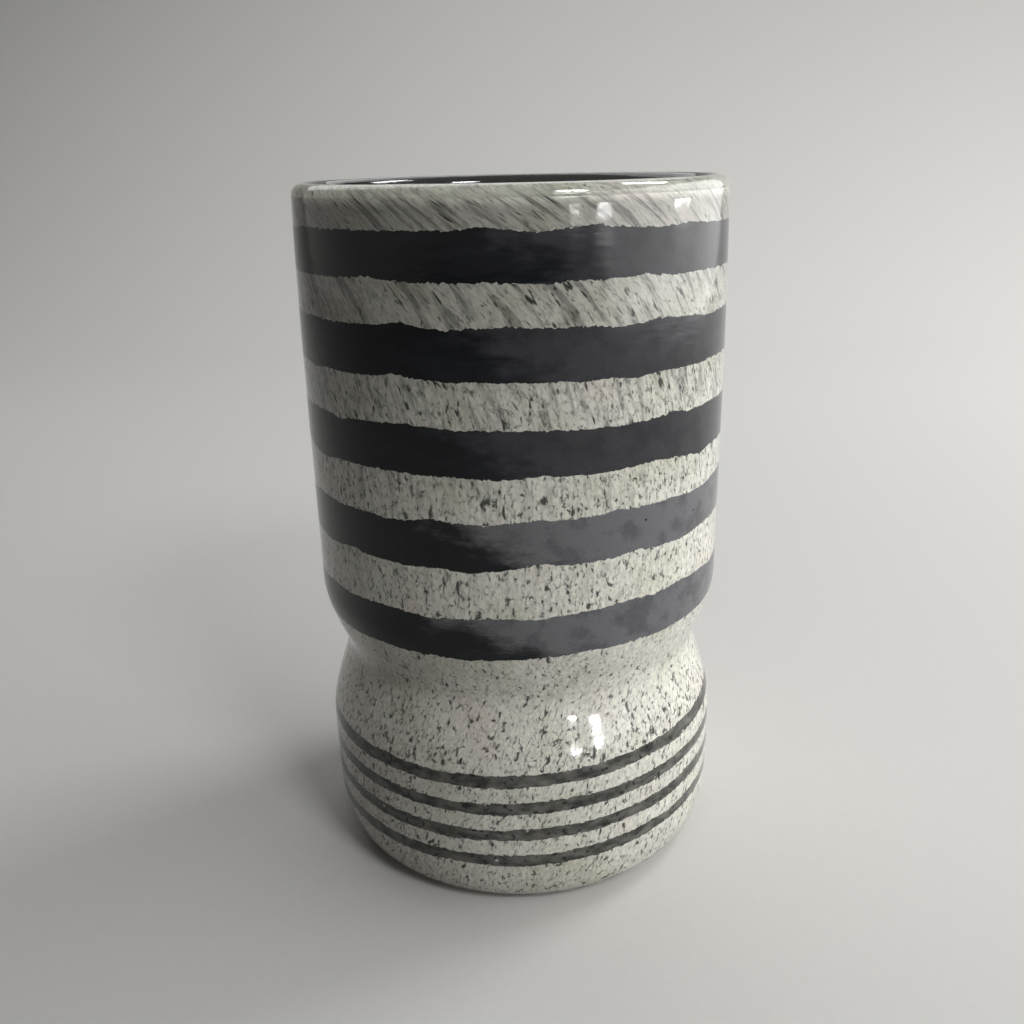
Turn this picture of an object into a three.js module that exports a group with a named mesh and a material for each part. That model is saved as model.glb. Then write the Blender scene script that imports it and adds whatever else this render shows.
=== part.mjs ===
// Blown glass vase: a tall body, a pinched waist and a round foot bulb.
// It is made of glass laid over glass while hot: a dark lining, a thick speckled layer over it, and
// trails of dark glass wound round and pressed flush into the speckled layer, five wide ones on the
// body and four fine ones on the foot bulb. A clear lip closes the layers at the top.
// Millimetres, +Z up, origin on the axis at the table. Azimuth 0 faces -Y and 90 degrees faces +X.

import * as THREE from "three";
import { mergeVertices } from "three/addons/utils/BufferGeometryUtils.js";

// Outline of the foot bulb, from the foot's edge up to the waist
const FOOT_RADIUS = 56;
const HEEL_REACH = 18.3;
const BULB_RADIUS = 73;
const BULB_HEIGHT = 48.2;
const BULB_ROUND_BELOW = 35.9;
const BULB_ROUND_ABOVE = 9.2;
const WAIST_RADIUS = 65.5;
const WAIST_HEIGHT = 78.4;
const WAIST_ROUND_BELOW = 6.1;
const WAIST_ROUND_ABOVE = 4;

// Outline of the body, from the waist up to the rim
const BODY_HEIGHT = 161.6;
const SHOULDER_RADIUS = 72.8;
const SHOULDER_RISE = 25.7;
const SHOULDER_ROUND_BELOW = 10.3;
const SHOULDER_ROUND_ABOVE = 40.6;
const RIM_RADIUS = 72;
const RIM_ROUND = 39;
const RIM_DRAW_IN = 1.4;

// Thickness of each layer, and the clearance kept between two pieces
const SPECKLED_WALL = 3.6;
const LINING_WALL = 3.7;
const SEAM = 0.3;
const LIP_HEIGHT = 3.8;

// The base: each layer's floor, the rounding inside, and the polished hollow underneath
const SPECKLED_FLOOR = 5;
const LINING_FLOOR = 9;
const FLOOR_ROUND = 16;
const HOLLOW_RADIUS = 20;
const HOLLOW_DEPTH = 1.5;

// Wound trails: how deep they lie, and how far their edges waver
const TRAIL_DEPTH = 1.6;
const RIPPLE = 0.4;

// Wide bands from the rim down: the strip left above each, and its own height
const STRIP_1 = 13.2;
const BAND_1 = 14;
const STRIP_2 = 12.6;
const BAND_2 = 15.3;
const STRIP_3 = 14;
const BAND_3 = 14.6;
const STRIP_4 = 13.1;
const BAND_4 = 14.9;
const STRIP_5 = 16.4;
const BAND_5 = 14.7;

// How far the turns climb, and towards which azimuth: the upper three, and the two above the waist
const UPPER_CLIMB = 1.3;
const UPPER_TOWARDS = 335;
const LOWER_CLIMB = 1.8;
const LOWER_TOWARDS = 79;

// Fine threads, evenly spaced from the foot up
const THREAD_COUNT = 4;
const THREAD_HEIGHT = 4.4;
const THREAD_PITCH = 10.4;
const LOWEST_THREAD = 20.9;
const THREAD_CLIMB = 2.8;
const THREAD_TOWARDS = 119;

// Facets: columns round the axis, and rows along each of the outline's four curves
const COLUMNS = 36;
const CURVE_ROWS = [6, 6, 8, 3];

const RIM_HEIGHT = WAIST_HEIGHT + BODY_HEIGHT;
const LIP_SEAT = RIM_HEIGHT - LIP_HEIGHT;
const SHOULDER_HEIGHT = WAIST_HEIGHT + SHOULDER_RISE;

// Depths below the outer surface, measured square to it
const GROOVE_BED = TRAIL_DEPTH + SEAM;
const LINING_FACE = SPECKLED_WALL + SEAM;
const LINING_BACK = LINING_FACE + LINING_WALL;

// Levels of the flat faces in the base
const LINING_UNDERSIDE = SPECKLED_FLOOR + SEAM;
const INSIDE_FLOOR = LINING_UNDERSIDE + LINING_FLOOR;

// The outer surface as one smooth chain of curves, with x as the radius and y as the height
const outline = new THREE.Path()
  .moveTo(FOOT_RADIUS, 0)
  .bezierCurveTo(
    FOOT_RADIUS + HEEL_REACH, 0,
    BULB_RADIUS, BULB_HEIGHT - BULB_ROUND_BELOW,
    BULB_RADIUS, BULB_HEIGHT,
  )
  .bezierCurveTo(
    BULB_RADIUS, BULB_HEIGHT + BULB_ROUND_ABOVE,
    WAIST_RADIUS, WAIST_HEIGHT - WAIST_ROUND_BELOW,
    WAIST_RADIUS, WAIST_HEIGHT,
  )
  .bezierCurveTo(
    WAIST_RADIUS, WAIST_HEIGHT + WAIST_ROUND_ABOVE,
    SHOULDER_RADIUS, SHOULDER_HEIGHT - SHOULDER_ROUND_BELOW,
    SHOULDER_RADIUS, SHOULDER_HEIGHT,
  )
  .bezierCurveTo(
    SHOULDER_RADIUS, SHOULDER_HEIGHT + SHOULDER_ROUND_ABOVE,
    RIM_RADIUS + RIM_DRAW_IN, RIM_HEIGHT - RIM_ROUND,
    RIM_RADIUS, RIM_HEIGHT,
  );
const outlineLength = outline.getLength();
const clearance = SEAM / outlineLength;

// The point that lies a depth below the outer surface, at a place from 0 at the foot to 1 at the rim
function pointAt(place, depth = 0) {
  const point = outline.getPoint(place);
  const along = outline.getTangent(place);
  return new THREE.Vector2(point.x - depth * along.y, point.y + depth * along.x);
}

// The place where the surface at a depth crosses a level
function placeAt(level, depth = 0) {
  let low = 0;
  let high = 1;
  for (let halving = 0; halving < 40; halving++) {
    const middle = (low + high) / 2;
    if (pointAt(middle, depth).y < level) low = middle;
    else high = middle;
  }
  return (low + high) / 2;
}

// Places for the rows of a smooth wall, closest where the outline turns most
const curveEnds = outline.getCurveLengths().map((length) => length / outlineLength);
const curvePlaces = curveEnds.flatMap((end, curve) => {
  const start = curve === 0 ? 0 : curveEnds[curve - 1];
  const rows = CURVE_ROWS[curve];
  return Array.from({ length: rows }, (_, row) => start + ((end - start) * (row + 1)) / rows);
});

function rowsBetween(from, to) {
  return curvePlaces.filter((place) => place > from + clearance && place < to - clearance);
}

// Places spread evenly between two others, for a stretch of wall whose ends move with the azimuth
function spread(from, to, rows) {
  return Array.from({ length: rows }, (_, row) => from + ((to - from) * (row + 1)) / (rows + 1));
}

function wallUp(from, to, depth) {
  return [from, ...rowsBetween(from, to), to].map((place) => pointAt(place, depth));
}

// Each trail has the level of its lower edge, its height and its climb, listed from the foot up
const threads = Array.from({ length: THREAD_COUNT }, (_, turn) => ({
  name: `fine_thread_${THREAD_COUNT - turn}`,
  bottom: LOWEST_THREAD + turn * THREAD_PITCH,
  height: THREAD_HEIGHT,
  climb: THREAD_CLIMB,
  towards: THREAD_TOWARDS,
  colour: 0x4a4946,
}));
const wideBands = [
  { strip: STRIP_1, height: BAND_1, climb: UPPER_CLIMB, towards: UPPER_TOWARDS },
  { strip: STRIP_2, height: BAND_2, climb: UPPER_CLIMB, towards: UPPER_TOWARDS },
  { strip: STRIP_3, height: BAND_3, climb: UPPER_CLIMB, towards: UPPER_TOWARDS },
  { strip: STRIP_4, height: BAND_4, climb: LOWER_CLIMB, towards: LOWER_TOWARDS },
  { strip: STRIP_5, height: BAND_5, climb: LOWER_CLIMB, towards: LOWER_TOWARDS },
];
let level = RIM_HEIGHT;
const bands = wideBands.map((band, turn) => {
  level -= band.strip + band.height;
  return { name: `wide_band_${turn + 1}`, bottom: level, colour: 0x2c2e36, ...band };
}).reverse();
const trails = [...threads, ...bands].map((trail) => {
  const from = placeAt(trail.bottom);
  const to = placeAt(trail.bottom + trail.height);
  return { ...trail, from, to, rows: rowsBetween(from, to).length };
});

// The places of a trail's lower and upper edge at an azimuth; the two edges waver apart a little
function edgesAt(trail, azimuth) {
  const climb = trail.climb * Math.cos(azimuth - THREE.MathUtils.degToRad(trail.towards));
  const lower = trail.bottom + climb + RIPPLE * Math.sin(3 * azimuth + trail.bottom);
  const upper = trail.bottom + trail.height + climb + RIPPLE * Math.sin(4 * azimuth + trail.bottom);
  return [placeAt(lower), placeAt(upper)];
}

// A closed section, listed anticlockwise, turned about the axis; it may change with the azimuth
function turned(sectionAt) {
  const columns = Array.from({ length: COLUMNS }, (_, column) => {
    const azimuth = (2 * Math.PI * column) / COLUMNS;
    return sectionAt(azimuth).map((p) => [p.x * Math.sin(azimuth), -p.x * Math.cos(azimuth), p.y]);
  });
  const onAxis = ([x, y]) => Math.hypot(x, y) < 1e-9;
  const corners = [];
  columns.forEach((here, column) => {
    const next = columns[(column + 1) % COLUMNS];
    here.forEach((lower, row) => {
      const above = (row + 1) % here.length;
      if (!onAxis(lower)) corners.push(lower, next[row], next[above]);
      if (!onAxis(here[above])) corners.push(lower, next[above], here[above]);
    });
  });
  const soup = new THREE.BufferGeometry();
  soup.setAttribute("position", new THREE.Float32BufferAttribute(corners.flat(), 3));
  const geometry = mergeVertices(soup, 1e-4);
  geometry.computeVertexNormals();
  return geometry;
}

// A closed section that is the same all round
function lathed(points) {
  return new THREE.LatheGeometry(points, COLUMNS).rotateX(Math.PI / 2);
}

const onAxisAt = (height) => new THREE.Vector2(0, height);

// The speckled layer: the polished hollow and the ring it stands on, then the outer wall with a
// groove for each trail, the lip's seat, and the face that the lining lies against
function speckledLayer() {
  const hollow = new THREE.QuadraticBezierCurve(
    onAxisAt(HOLLOW_DEPTH),
    new THREE.Vector2(HOLLOW_RADIUS / 2, HOLLOW_DEPTH),
    new THREE.Vector2(HOLLOW_RADIUS, 0),
  ).getPoints(3);
  const seat = placeAt(LIP_SEAT);
  const inside = wallUp(placeAt(SPECKLED_FLOOR, SPECKLED_WALL), placeAt(LIP_SEAT, SPECKLED_WALL), SPECKLED_WALL);
  return turned((azimuth) => {
    const points = [...hollow, pointAt(0)];
    let steady = 0;
    let last = 0;
    for (const trail of trails) {
      const [lower, upper] = edgesAt(trail, azimuth);
      const low = lower - clearance;
      const high = upper + clearance;
      const bed = [low, ...spread(low, high, trail.rows), high];
      points.push(...spread(last, low, rowsBetween(steady, trail.from).length).map((place) => pointAt(place)));
      points.push(pointAt(low), ...bed.map((place) => pointAt(place, GROOVE_BED)), pointAt(high));
      last = high;
      steady = trail.to;
    }
    points.push(...spread(last, seat, rowsBetween(steady, seat).length).map((place) => pointAt(place)));
    return [...points, pointAt(seat), ...inside.toReversed(), onAxisAt(SPECKLED_FLOOR)];
  });
}

// The dark lining, whose inside rounds into a thick floor
function darkLining() {
  const outside = wallUp(placeAt(LINING_UNDERSIDE, LINING_FACE), placeAt(LIP_SEAT, LINING_FACE), LINING_FACE);
  const foot = placeAt(INSIDE_FLOOR + FLOOR_ROUND, LINING_BACK);
  const inside = wallUp(foot, placeAt(LIP_SEAT, LINING_BACK), LINING_BACK);
  const corner = inside[0].x;
  const round = new THREE.QuadraticBezierCurve(
    new THREE.Vector2(corner - FLOOR_ROUND, INSIDE_FLOOR),
    new THREE.Vector2(corner, INSIDE_FLOOR),
    inside[0],
  ).getPoints(4);
  return lathed([
    onAxisAt(LINING_UNDERSIDE),
    ...outside,
    ...inside.toReversed(),
    ...round.slice(0, -1).reverse(),
    onAxisAt(INSIDE_FLOOR),
  ]);
}

// The fire-polished lip: half a round over the full wall, seated flat on both layers
function lip() {
  const outer = pointAt(placeAt(LIP_SEAT)).x;
  const inner = pointAt(placeAt(LIP_SEAT, LINING_BACK), LINING_BACK).x;
  const crest = new THREE.EllipseCurve((outer + inner) / 2, LIP_SEAT, (outer - inner) / 2, LIP_HEIGHT, 0, Math.PI);
  const round = crest.getPoints(8);
  return lathed([...round, round[0].clone()]);
}

// A trail: one turn of glass pressed into its groove, flush with the speckled layer
function trailTurn(trail) {
  return turned((azimuth) => {
    const [lower, upper] = edgesAt(trail, azimuth);
    const places = [lower, ...spread(lower, upper, trail.rows), upper];
    return [
      ...places.map((place) => pointAt(place)),
      ...places.toReversed().map((place) => pointAt(place, TRAIL_DEPTH)),
    ];
  });
}

function glass(colour, roughness, opacity = 1) {
  return new THREE.MeshStandardMaterial({
    color: colour,
    roughness,
    metalness: 0,
    opacity,
    transparent: opacity < 1,
  });
}

function piece(name, geometry, material) {
  const mesh = new THREE.Mesh(geometry, material);
  mesh.name = name;
  return mesh;
}

const vase = new THREE.Group();
vase.name = "blown_glass_vase";
vase.add(
  piece("speckled_layer", speckledLayer(), glass(0xd3d0c4, 0.12)),
  piece("dark_lining", darkLining(), glass(0x15171b, 0.08)),
  piece("clear_lip", lip(), glass(0xc9d0cf, 0.05, 0.5)),
  ...trails.map((trail) => piece(trail.name, trailTurn(trail), glass(trail.colour, 0.1))),
);

export default vase;
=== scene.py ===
# Dresses the blown glass vase: a pinched vessel of speckled white glass over a dark lining, with dark
# trails wound round it. Metres, +Z up, origin on the axis at the table. Azimuth 0 faces -Y, 90 faces +X.

import math

import bpy
import numpy as np
from bpy.props import FloatProperty, FloatVectorProperty, IntProperty, PointerProperty
from mathutils import Matrix, Vector, noise


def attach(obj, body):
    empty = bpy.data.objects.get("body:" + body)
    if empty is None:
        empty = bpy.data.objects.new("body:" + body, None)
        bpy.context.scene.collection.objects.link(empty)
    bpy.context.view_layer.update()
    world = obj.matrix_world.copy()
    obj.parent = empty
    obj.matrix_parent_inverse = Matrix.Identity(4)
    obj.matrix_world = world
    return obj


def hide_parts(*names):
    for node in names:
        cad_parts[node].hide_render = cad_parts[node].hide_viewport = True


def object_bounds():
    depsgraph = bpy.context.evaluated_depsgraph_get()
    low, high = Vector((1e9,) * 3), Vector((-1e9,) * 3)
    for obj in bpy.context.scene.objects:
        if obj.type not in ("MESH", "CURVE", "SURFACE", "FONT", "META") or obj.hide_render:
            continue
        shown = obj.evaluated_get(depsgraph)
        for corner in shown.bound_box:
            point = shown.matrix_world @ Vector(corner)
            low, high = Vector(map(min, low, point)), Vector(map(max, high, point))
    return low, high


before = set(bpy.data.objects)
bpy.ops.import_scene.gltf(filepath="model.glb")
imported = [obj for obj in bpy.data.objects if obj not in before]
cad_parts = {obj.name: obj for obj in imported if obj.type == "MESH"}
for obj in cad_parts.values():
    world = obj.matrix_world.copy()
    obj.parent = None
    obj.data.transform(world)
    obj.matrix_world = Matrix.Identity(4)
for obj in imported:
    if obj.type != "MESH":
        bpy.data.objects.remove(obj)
cad_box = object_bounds()

bl_info = {
    "name": "Blown Glass Vase",
    "version": (1, 0, 0),
    "blender": (4, 5, 0),
    "location": "View3D > Sidebar > Vase",
    "description": "Dresses a banded glass vase around its CAD frame",
    "category": "Add Mesh",
}

MM = 0.001
TAU = math.tau
RIM = cad_box[1].z

# Rows of facets up the walls, and the inset in millimetres that counts as away from every edge
ROW_HEIGHT = 3.2 * MM
FAR_IN = 9.0

# How each wide band and fine thread runs: the level of its lower edge and its height in millimetres,
# and its climb in millimetres towards an azimuth in degrees. The first of each kind is the top one.
BANDS = (
    (212.8, 14.0, 1.3, 335),
    (184.9, 15.3, 1.3, 335),
    (156.3, 14.6, 1.3, 335),
    (128.3, 14.9, 1.8, 79),
    (97.2, 14.7, 1.8, 79),
)
THREADS = (
    (52.1, 4.4, 2.8, 119),
    (41.7, 4.4, 2.8, 119),
    (31.3, 4.4, 2.8, 119),
    (20.9, 4.4, 2.8, 119),
)

# The swells that show along the front of each band, as azimuth and half-width in degrees and rise in
# millimetres: the lower edge of the band first, then its upper edge
BAND_SWELLS = (
    (((-36, 7, 0.7), (-16, 8, -0.35), (5, 6, -0.55), (31, 5, 0.7)),
     ((-30, 12, -0.3), (-6, 4, 0.9), (6, 4, -0.8), (18, 5, 1.0), (36, 6, -0.4), (46, 6, 0.5))),
    (((-60, 4, -0.5), (-29, 5, 1.2), (10, 12, -0.4), (29, 4, -0.8), (60, 5, 0.4)),
     ((-48, 5, -0.4), (-27, 5, 0.95), (-16, 4, -0.6), (-1, 4, 0.5), (25, 5, -0.7), (37, 4, 0.6),
      (57, 6, -1.0))),
    (((-59, 7, -1.4), (-6, 6, -0.4), (6, 3, 0.6), (35, 9, 1.1), (54, 4, -1.2)),
     ((-48, 3.5, -1.2), (-27, 7, 0.6), (-12, 3, -0.4), (18, 12, -0.7), (42, 3.5, 0.8), (60, 4, 0.5))),
    (((-60, 3.5, -0.7), (-47, 4, 1.0), (-28, 5, -0.5), (-12, 5, -1.2), (5, 4, 1.3), (30, 3.5, 0.9),
      (45, 8, -0.7)),
     ((-62, 8, 0.5), (-33, 4, -0.5), (-21, 4, 0.8), (-7, 3.5, -0.5), (5, 4, 0.5), (25, 3.5, 0.6),
      (54, 12, -1.2))),
    (((-40, 6, 0.4), (-12, 7, -0.5), (16, 6, 0.5), (40, 6, -0.3)),
     ((-60, 3, 0.7), (-37, 6, 0.4), (-22, 5, -1.0), (4, 4, -0.9), (27, 5, 0.8), (46, 7, 0.8),
      (66, 4, -1.1))),
)


def hex_colour(code):
    """An sRGB hex colour as linear red, green, blue and alpha"""
    channels = [int(code[i:i + 2], 16) / 255 for i in (1, 3, 5)]
    linear = [c / 12.92 if c <= 0.04045 else ((c + 0.055) / 1.055) ** 2.4 for c in channels]
    return (*linear, 1.0)


def size_property(name, description, millimetres):
    """A length on the panel, with its default in millimetres"""
    return FloatProperty(name=name, description=description, default=millimetres * MM, unit="LENGTH")


def colour_property(name, description, code):
    """A colour on the panel, with its default as a hex colour"""
    return FloatVectorProperty(name=name, description=description, subtype="COLOR", min=0, max=1,
                               default=hex_colour(code)[:3])


class VaseOutline(bpy.types.PropertyGroup):
    """The outer surface and the thickness of each layer"""
    foot_radius: size_property("Foot radius", "Edge of the flat foot", 56)
    heel_reach: size_property("Heel reach", "Pull of the curve out from the foot", 18.3)
    bulb_radius: size_property("Bulb radius", "Widest part of the foot bulb", 73)
    bulb_height: size_property("Bulb height", "Level of the bulb's widest part", 48.2)
    bulb_round_below: size_property("Bulb round below", "Pull of the curve below the widest part", 35.9)
    bulb_round_above: size_property("Bulb round above", "Pull of the curve above the widest part", 9.2)
    waist_radius: size_property("Waist radius", "Radius of the pinched waist", 65.5)
    waist_height: size_property("Waist height", "Level of the waist", 78.4)
    waist_round_below: size_property("Waist round below", "Pull of the curve below the waist", 6.1)
    waist_round_above: size_property("Waist round above", "Pull of the curve above the waist", 4)
    shoulder_radius: size_property("Shoulder radius", "Lower edge of the straight body", 72.8)
    shoulder_height: size_property("Shoulder height", "Level where the body turns straight", 104.1)
    shoulder_round_below: size_property("Shoulder round below", "Pull of the curve below it", 10.3)
    shoulder_round_above: size_property("Shoulder round above", "Pull of the curve above it", 40.6)
    rim_radius: size_property("Rim radius", "Outside of the rim", 72)
    rim_round: size_property("Rim round", "Pull of the curve below the rim", 39)
    rim_draw_in: size_property("Rim draw-in", "How far the body draws in towards the rim", 1.4)
    speckled_wall: size_property("Speckled wall", "Thickness of the speckled layer", 3.6)
    lining_wall: size_property("Lining wall", "Thickness of the dark lining", 3.7)
    seam: size_property("Seam", "Clearance between the two layers", 0.3)
    lip_height: size_property("Lip height", "Height of the clear lip", 3.8)
    lip_casing: size_property("Lip casing", "Clear glass left over the two layers in the lip", 0.28)
    speckled_floor: size_property("Speckled floor", "Thickness of the speckled base", 5)
    lining_floor: size_property("Lining floor", "Thickness of the lining's base", 9)
    floor_round: size_property("Floor round", "Rounding inside the base", 16)
    hollow_radius: size_property("Hollow radius", "Polished hollow underneath", 20)
    hollow_depth: size_property("Hollow depth", "Depth of the polished hollow", 1.5)


class VaseTrails(bpy.types.PropertyGroup):
    """The wound trails and how freely their edges run"""
    depth: size_property("Depth", "How deep a trail lies in the wall", 1.6)
    swell: size_property("Swell", "Height of the slow waves along an edge at the back", 1.1)
    swell_length: size_property("Swell length", "Length of the slow waves", 17)
    tooth: size_property("Tooth", "Height of the fine teeth along an edge", 0.6)
    tooth_length: size_property("Tooth length", "Length of the fine teeth", 2.3)
    columns: IntProperty(name="Columns", description="Facets round the axis", default=720, min=24)


class VaseColours(bpy.types.PropertyGroup):
    """Colours of the glasses and of the floor"""
    pale_glass: colour_property("Pale glass", "White glass of the speckled layer", "#ecebdf")
    olive_cloud: colour_property("Olive cloud", "Faint olive clouds in the white", "#c6c3a8")
    warm_cloud: colour_property("Warm cloud", "Faint warm clouds in the white", "#dcc8bc")
    grains: colour_property("Grains", "Dark grains between the chips", "#151613")
    trail_glass: colour_property("Trail glass", "Dark glass of the wide bands", "#0a0d13")
    smoke: colour_property("Smoke", "Where the bands are drawn thin", "#6c6c6f")
    thread_glass: colour_property("Thread glass", "Grey of the fine threads", "#6e6d67")
    lining_glass: colour_property("Lining glass", "Dark glass inside", "#15161a")
    clear_glass: colour_property("Clear glass", "Tint of the clear lip", "#f4f6f5")
    paper: colour_property("Paper", "Floor of the stage", "#d2d1ce")


def chosen(name):
    """A colour from the panel's colours, with alpha"""
    return (*getattr(bpy.context.scene.vase_colours, name), 1.0)


def add(tree, kind, inputs=None, **settings):
    """Adds one shader node. Inputs are values or sockets by name or number, and settings are its own
    properties."""
    node = tree.nodes.new("ShaderNode" + kind)
    for key, value in settings.items():
        setattr(node, key, value)
    for key, value in (inputs or {}).items():
        if isinstance(value, bpy.types.NodeSocket):
            tree.links.new(value, node.inputs[key])
        else:
            node.inputs[key].default_value = value
    return node


def fill_ramp(ramp, *stops):
    """Sets a colour ramp's stops, each a position from 0 to 1 and a hex colour"""
    elements = ramp.color_ramp.elements
    while len(elements) < len(stops):
        elements.new(0.5)
    for element, (position, colour) in zip(elements, stops):
        element.position = position
        element.color = hex_colour(colour)
    return ramp.outputs["Color"]


# Outline

def outline_table():
    """The outer surface as arrays along its length: length, radius, height and the direction there"""
    size = bpy.context.scene.vase_outline
    foot = (size.foot_radius, 0)
    bulb = (size.bulb_radius, size.bulb_height)
    waist = (size.waist_radius, size.waist_height)
    shoulder = (size.shoulder_radius, size.shoulder_height)
    rim = (size.rim_radius, RIM)
    curves = (
        (foot, (foot[0] + size.heel_reach, 0),
         (bulb[0], bulb[1] - size.bulb_round_below), bulb),
        (bulb, (bulb[0], bulb[1] + size.bulb_round_above),
         (waist[0], waist[1] - size.waist_round_below), waist),
        (waist, (waist[0], waist[1] + size.waist_round_above),
         (shoulder[0], shoulder[1] - size.shoulder_round_below), shoulder),
        (shoulder, (shoulder[0], shoulder[1] + size.shoulder_round_above),
         (rim[0] + size.rim_draw_in, rim[1] - size.rim_round), rim),
    )
    t = np.linspace(0, 1, 1500)[:, None]
    points = []
    for curve in curves:
        a, b, c, d = (np.array(corner) for corner in curve)
        run = (1 - t) ** 3 * a + 3 * (1 - t) ** 2 * t * b + 3 * (1 - t) * t * t * c + t ** 3 * d
        points.append(run if not points else run[1:])
    points = np.concatenate(points)
    steps = np.diff(points, axis=0)
    length = np.concatenate([[0], np.cumsum(np.hypot(*steps.T))])
    along = np.gradient(points, length, axis=0)
    return {"length": length, "radius": points[:, 0], "height": points[:, 1],
            "across": along[:, 1], "up": along[:, 0]}


def surface(outline, length, depth=0.0):
    """Radius and height a depth below the outer surface, at lengths along it"""
    radius, height, across, up = (
        np.interp(length, outline["length"], outline[key]) for key in ("radius", "height", "across", "up")
    )
    return radius - depth * across, height + depth * up


def length_at(outline, level, depth=0.0):
    """The length along the outline where the surface at a depth crosses a level"""
    heights = surface(outline, outline["length"], depth)[1]
    return np.interp(level, heights, outline["length"])


# Edges of the trails

def swells_at(swells, azimuth):
    """The sum of the listed swells at an azimuth in degrees, in metres"""
    return sum(rise * MM * math.exp(-((azimuth - centre) / width) ** 2) for centre, width, rise in swells)


def edge_levels(trails, level, climb, towards, swells, seed):
    """The level of one edge of a trail at every column"""
    radius = bpy.context.scene.vase_outline.bulb_radius
    levels = []
    for azimuth in column_azimuths(trails.columns):
        degrees = math.degrees(azimuth)
        place = Vector((math.cos(azimuth), math.sin(azimuth), 0)) * radius + Vector((0, 0, seed))
        # The free swells fade in past the listed ones, from 62 to 76 degrees off the front
        behind = min(max((abs(degrees) - 62) / 14, 0), 1) if swells else 0.45
        slow = noise.noise(place / trails.swell_length) * trails.swell * behind
        fine = noise.noise(place / trails.tooth_length)
        fine += 0.8 * noise.noise(place / trails.tooth_length / 2.6)
        levels.append(
            level + climb * math.cos(azimuth - math.radians(towards)) + swells_at(swells, degrees)
            + slow + fine * trails.tooth / 2
        )
    return np.array(levels)


def column_azimuths(columns):
    """Azimuths from the front round, in the order that the lathe makes the columns"""
    azimuths = np.arange(columns) * TAU / columns
    return (azimuths + math.pi) % TAU - math.pi


def trail_edges(outline):
    """The lengths along the outline of every trail's two edges at every column, from the foot up"""
    trails = bpy.context.scene.vase_trails
    edges = []
    for turn, (bottom, height, climb, towards) in reversed(list(enumerate(THREADS))):
        for part, level in enumerate((bottom, bottom + height)):
            edges.append(edge_levels(trails, level * MM, climb * MM, towards, (), turn + 0.31 + 0.17 * part))
    for turn, (bottom, height, climb, towards) in reversed(list(enumerate(BANDS))):
        for part, level in enumerate((bottom, bottom + height)):
            seed = 9.3 + turn + 0.43 * part
            edges.append(edge_levels(trails, level * MM, climb * MM, towards, BAND_SWELLS[turn][part], seed))
    return [np.interp(levels, outline["height"], outline["length"]) for levels in edges]


# Meshes

def turned(name, section, columns, open_ends=False, inset=None):
    """A piece turned about the axis from a section whose points may move with the azimuth.
    The section holds a radius and a height for each point, each a number or one value a column.
    Inset is how far in from the edge of its glass each point lies, in millimetres, for the materials."""
    rings = np.array([[np.broadcast_to(value, columns) for value in point] for point in section])
    count = len(section)
    bpy.ops.object.select_all(action="DESELECT")
    bpy.ops.mesh.primitive_circle_add(vertices=count, radius=1)
    piece = bpy.context.object
    piece.name = piece.data.name = name
    for vertex, (radius, height) in zip(piece.data.vertices, rings[:, :, 0]):
        vertex.co = (0, -radius, height)
    if open_ends:
        bpy.ops.object.mode_set(mode="EDIT")
        bpy.ops.mesh.select_mode(type="EDGE")
        bpy.ops.mesh.select_all(action="DESELECT")
        bpy.ops.object.mode_set(mode="OBJECT")
        for edge in piece.data.edges:
            edge.select = set(edge.vertices) == {0, count - 1}
        bpy.ops.object.mode_set(mode="EDIT")
        bpy.ops.mesh.delete(type="EDGE_FACE")
        bpy.ops.mesh.select_mode(type="VERT")
        bpy.ops.object.mode_set(mode="OBJECT")
    bpy.ops.object.modifier_add(type="SCREW")
    lathe = piece.modifiers[-1]
    lathe.axis = "Z"
    lathe.angle = TAU
    lathe.steps = lathe.render_steps = columns
    bpy.ops.object.modifier_apply(modifier=lathe.name)
    if len(piece.data.vertices) != count * columns:
        raise RuntimeError(f"{name} has {len(piece.data.vertices)} points after it is turned")
    azimuths = column_azimuths(columns)
    places = np.empty((columns, count, 3))
    places[:, :, 0] = (rings[:, 0] * np.sin(azimuths)).T
    places[:, :, 1] = (-rings[:, 0] * np.cos(azimuths)).T
    places[:, :, 2] = rings[:, 1].T
    piece.data.vertices.foreach_set("co", places.astype(np.float32).ravel())
    if inset is not None:
        depths = np.array([np.broadcast_to(value, columns) for value in inset])
        depths = np.pad(depths, ((0, count - len(depths)), (0, 0)), constant_values=FAR_IN)
        piece.data.attributes.new("inset", "FLOAT", "POINT")
        piece.data.attributes["inset"].data.foreach_set("value", depths.T.astype(np.float32).ravel())
    bpy.ops.object.mode_set(mode="EDIT")
    bpy.ops.mesh.select_all(action="SELECT")
    bpy.ops.mesh.remove_doubles(threshold=0.002 * MM)
    bpy.ops.mesh.normals_make_consistent(inside=False)
    bpy.ops.object.mode_set(mode="OBJECT")
    bpy.ops.object.shade_smooth_by_angle(angle=math.radians(35))
    return piece


def finished(piece, node, material):
    """Gives a piece its glass, sets it on the body, and lets it stand for its CAD node"""
    piece.data.materials.clear()
    piece.data.materials.append(material)
    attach(piece, "root")
    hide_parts(node)


def wall_rows(start, end, rows, depth, outline):
    """Points along the wall between two lengths, which may move with the azimuth, ends left out"""
    return [surface(outline, start + (end - start) * row / (rows + 1), depth) for row in range(1, rows + 1)]


def insets(lower, upper, start, end, rows):
    """How far in from a lower and an upper edge, in millimetres, the points of wall_rows lie"""
    depths = []
    for row in range(1, rows + 1):
        place = start + (end - start) * row / (rows + 1)
        depth = np.full(np.shape(place), FAR_IN)
        if lower is not None:
            depth = np.minimum(depth, (place - lower) / MM)
        if upper is not None:
            depth = np.minimum(depth, (upper - place) / MM)
        depths.append(depth)
    return depths


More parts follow.
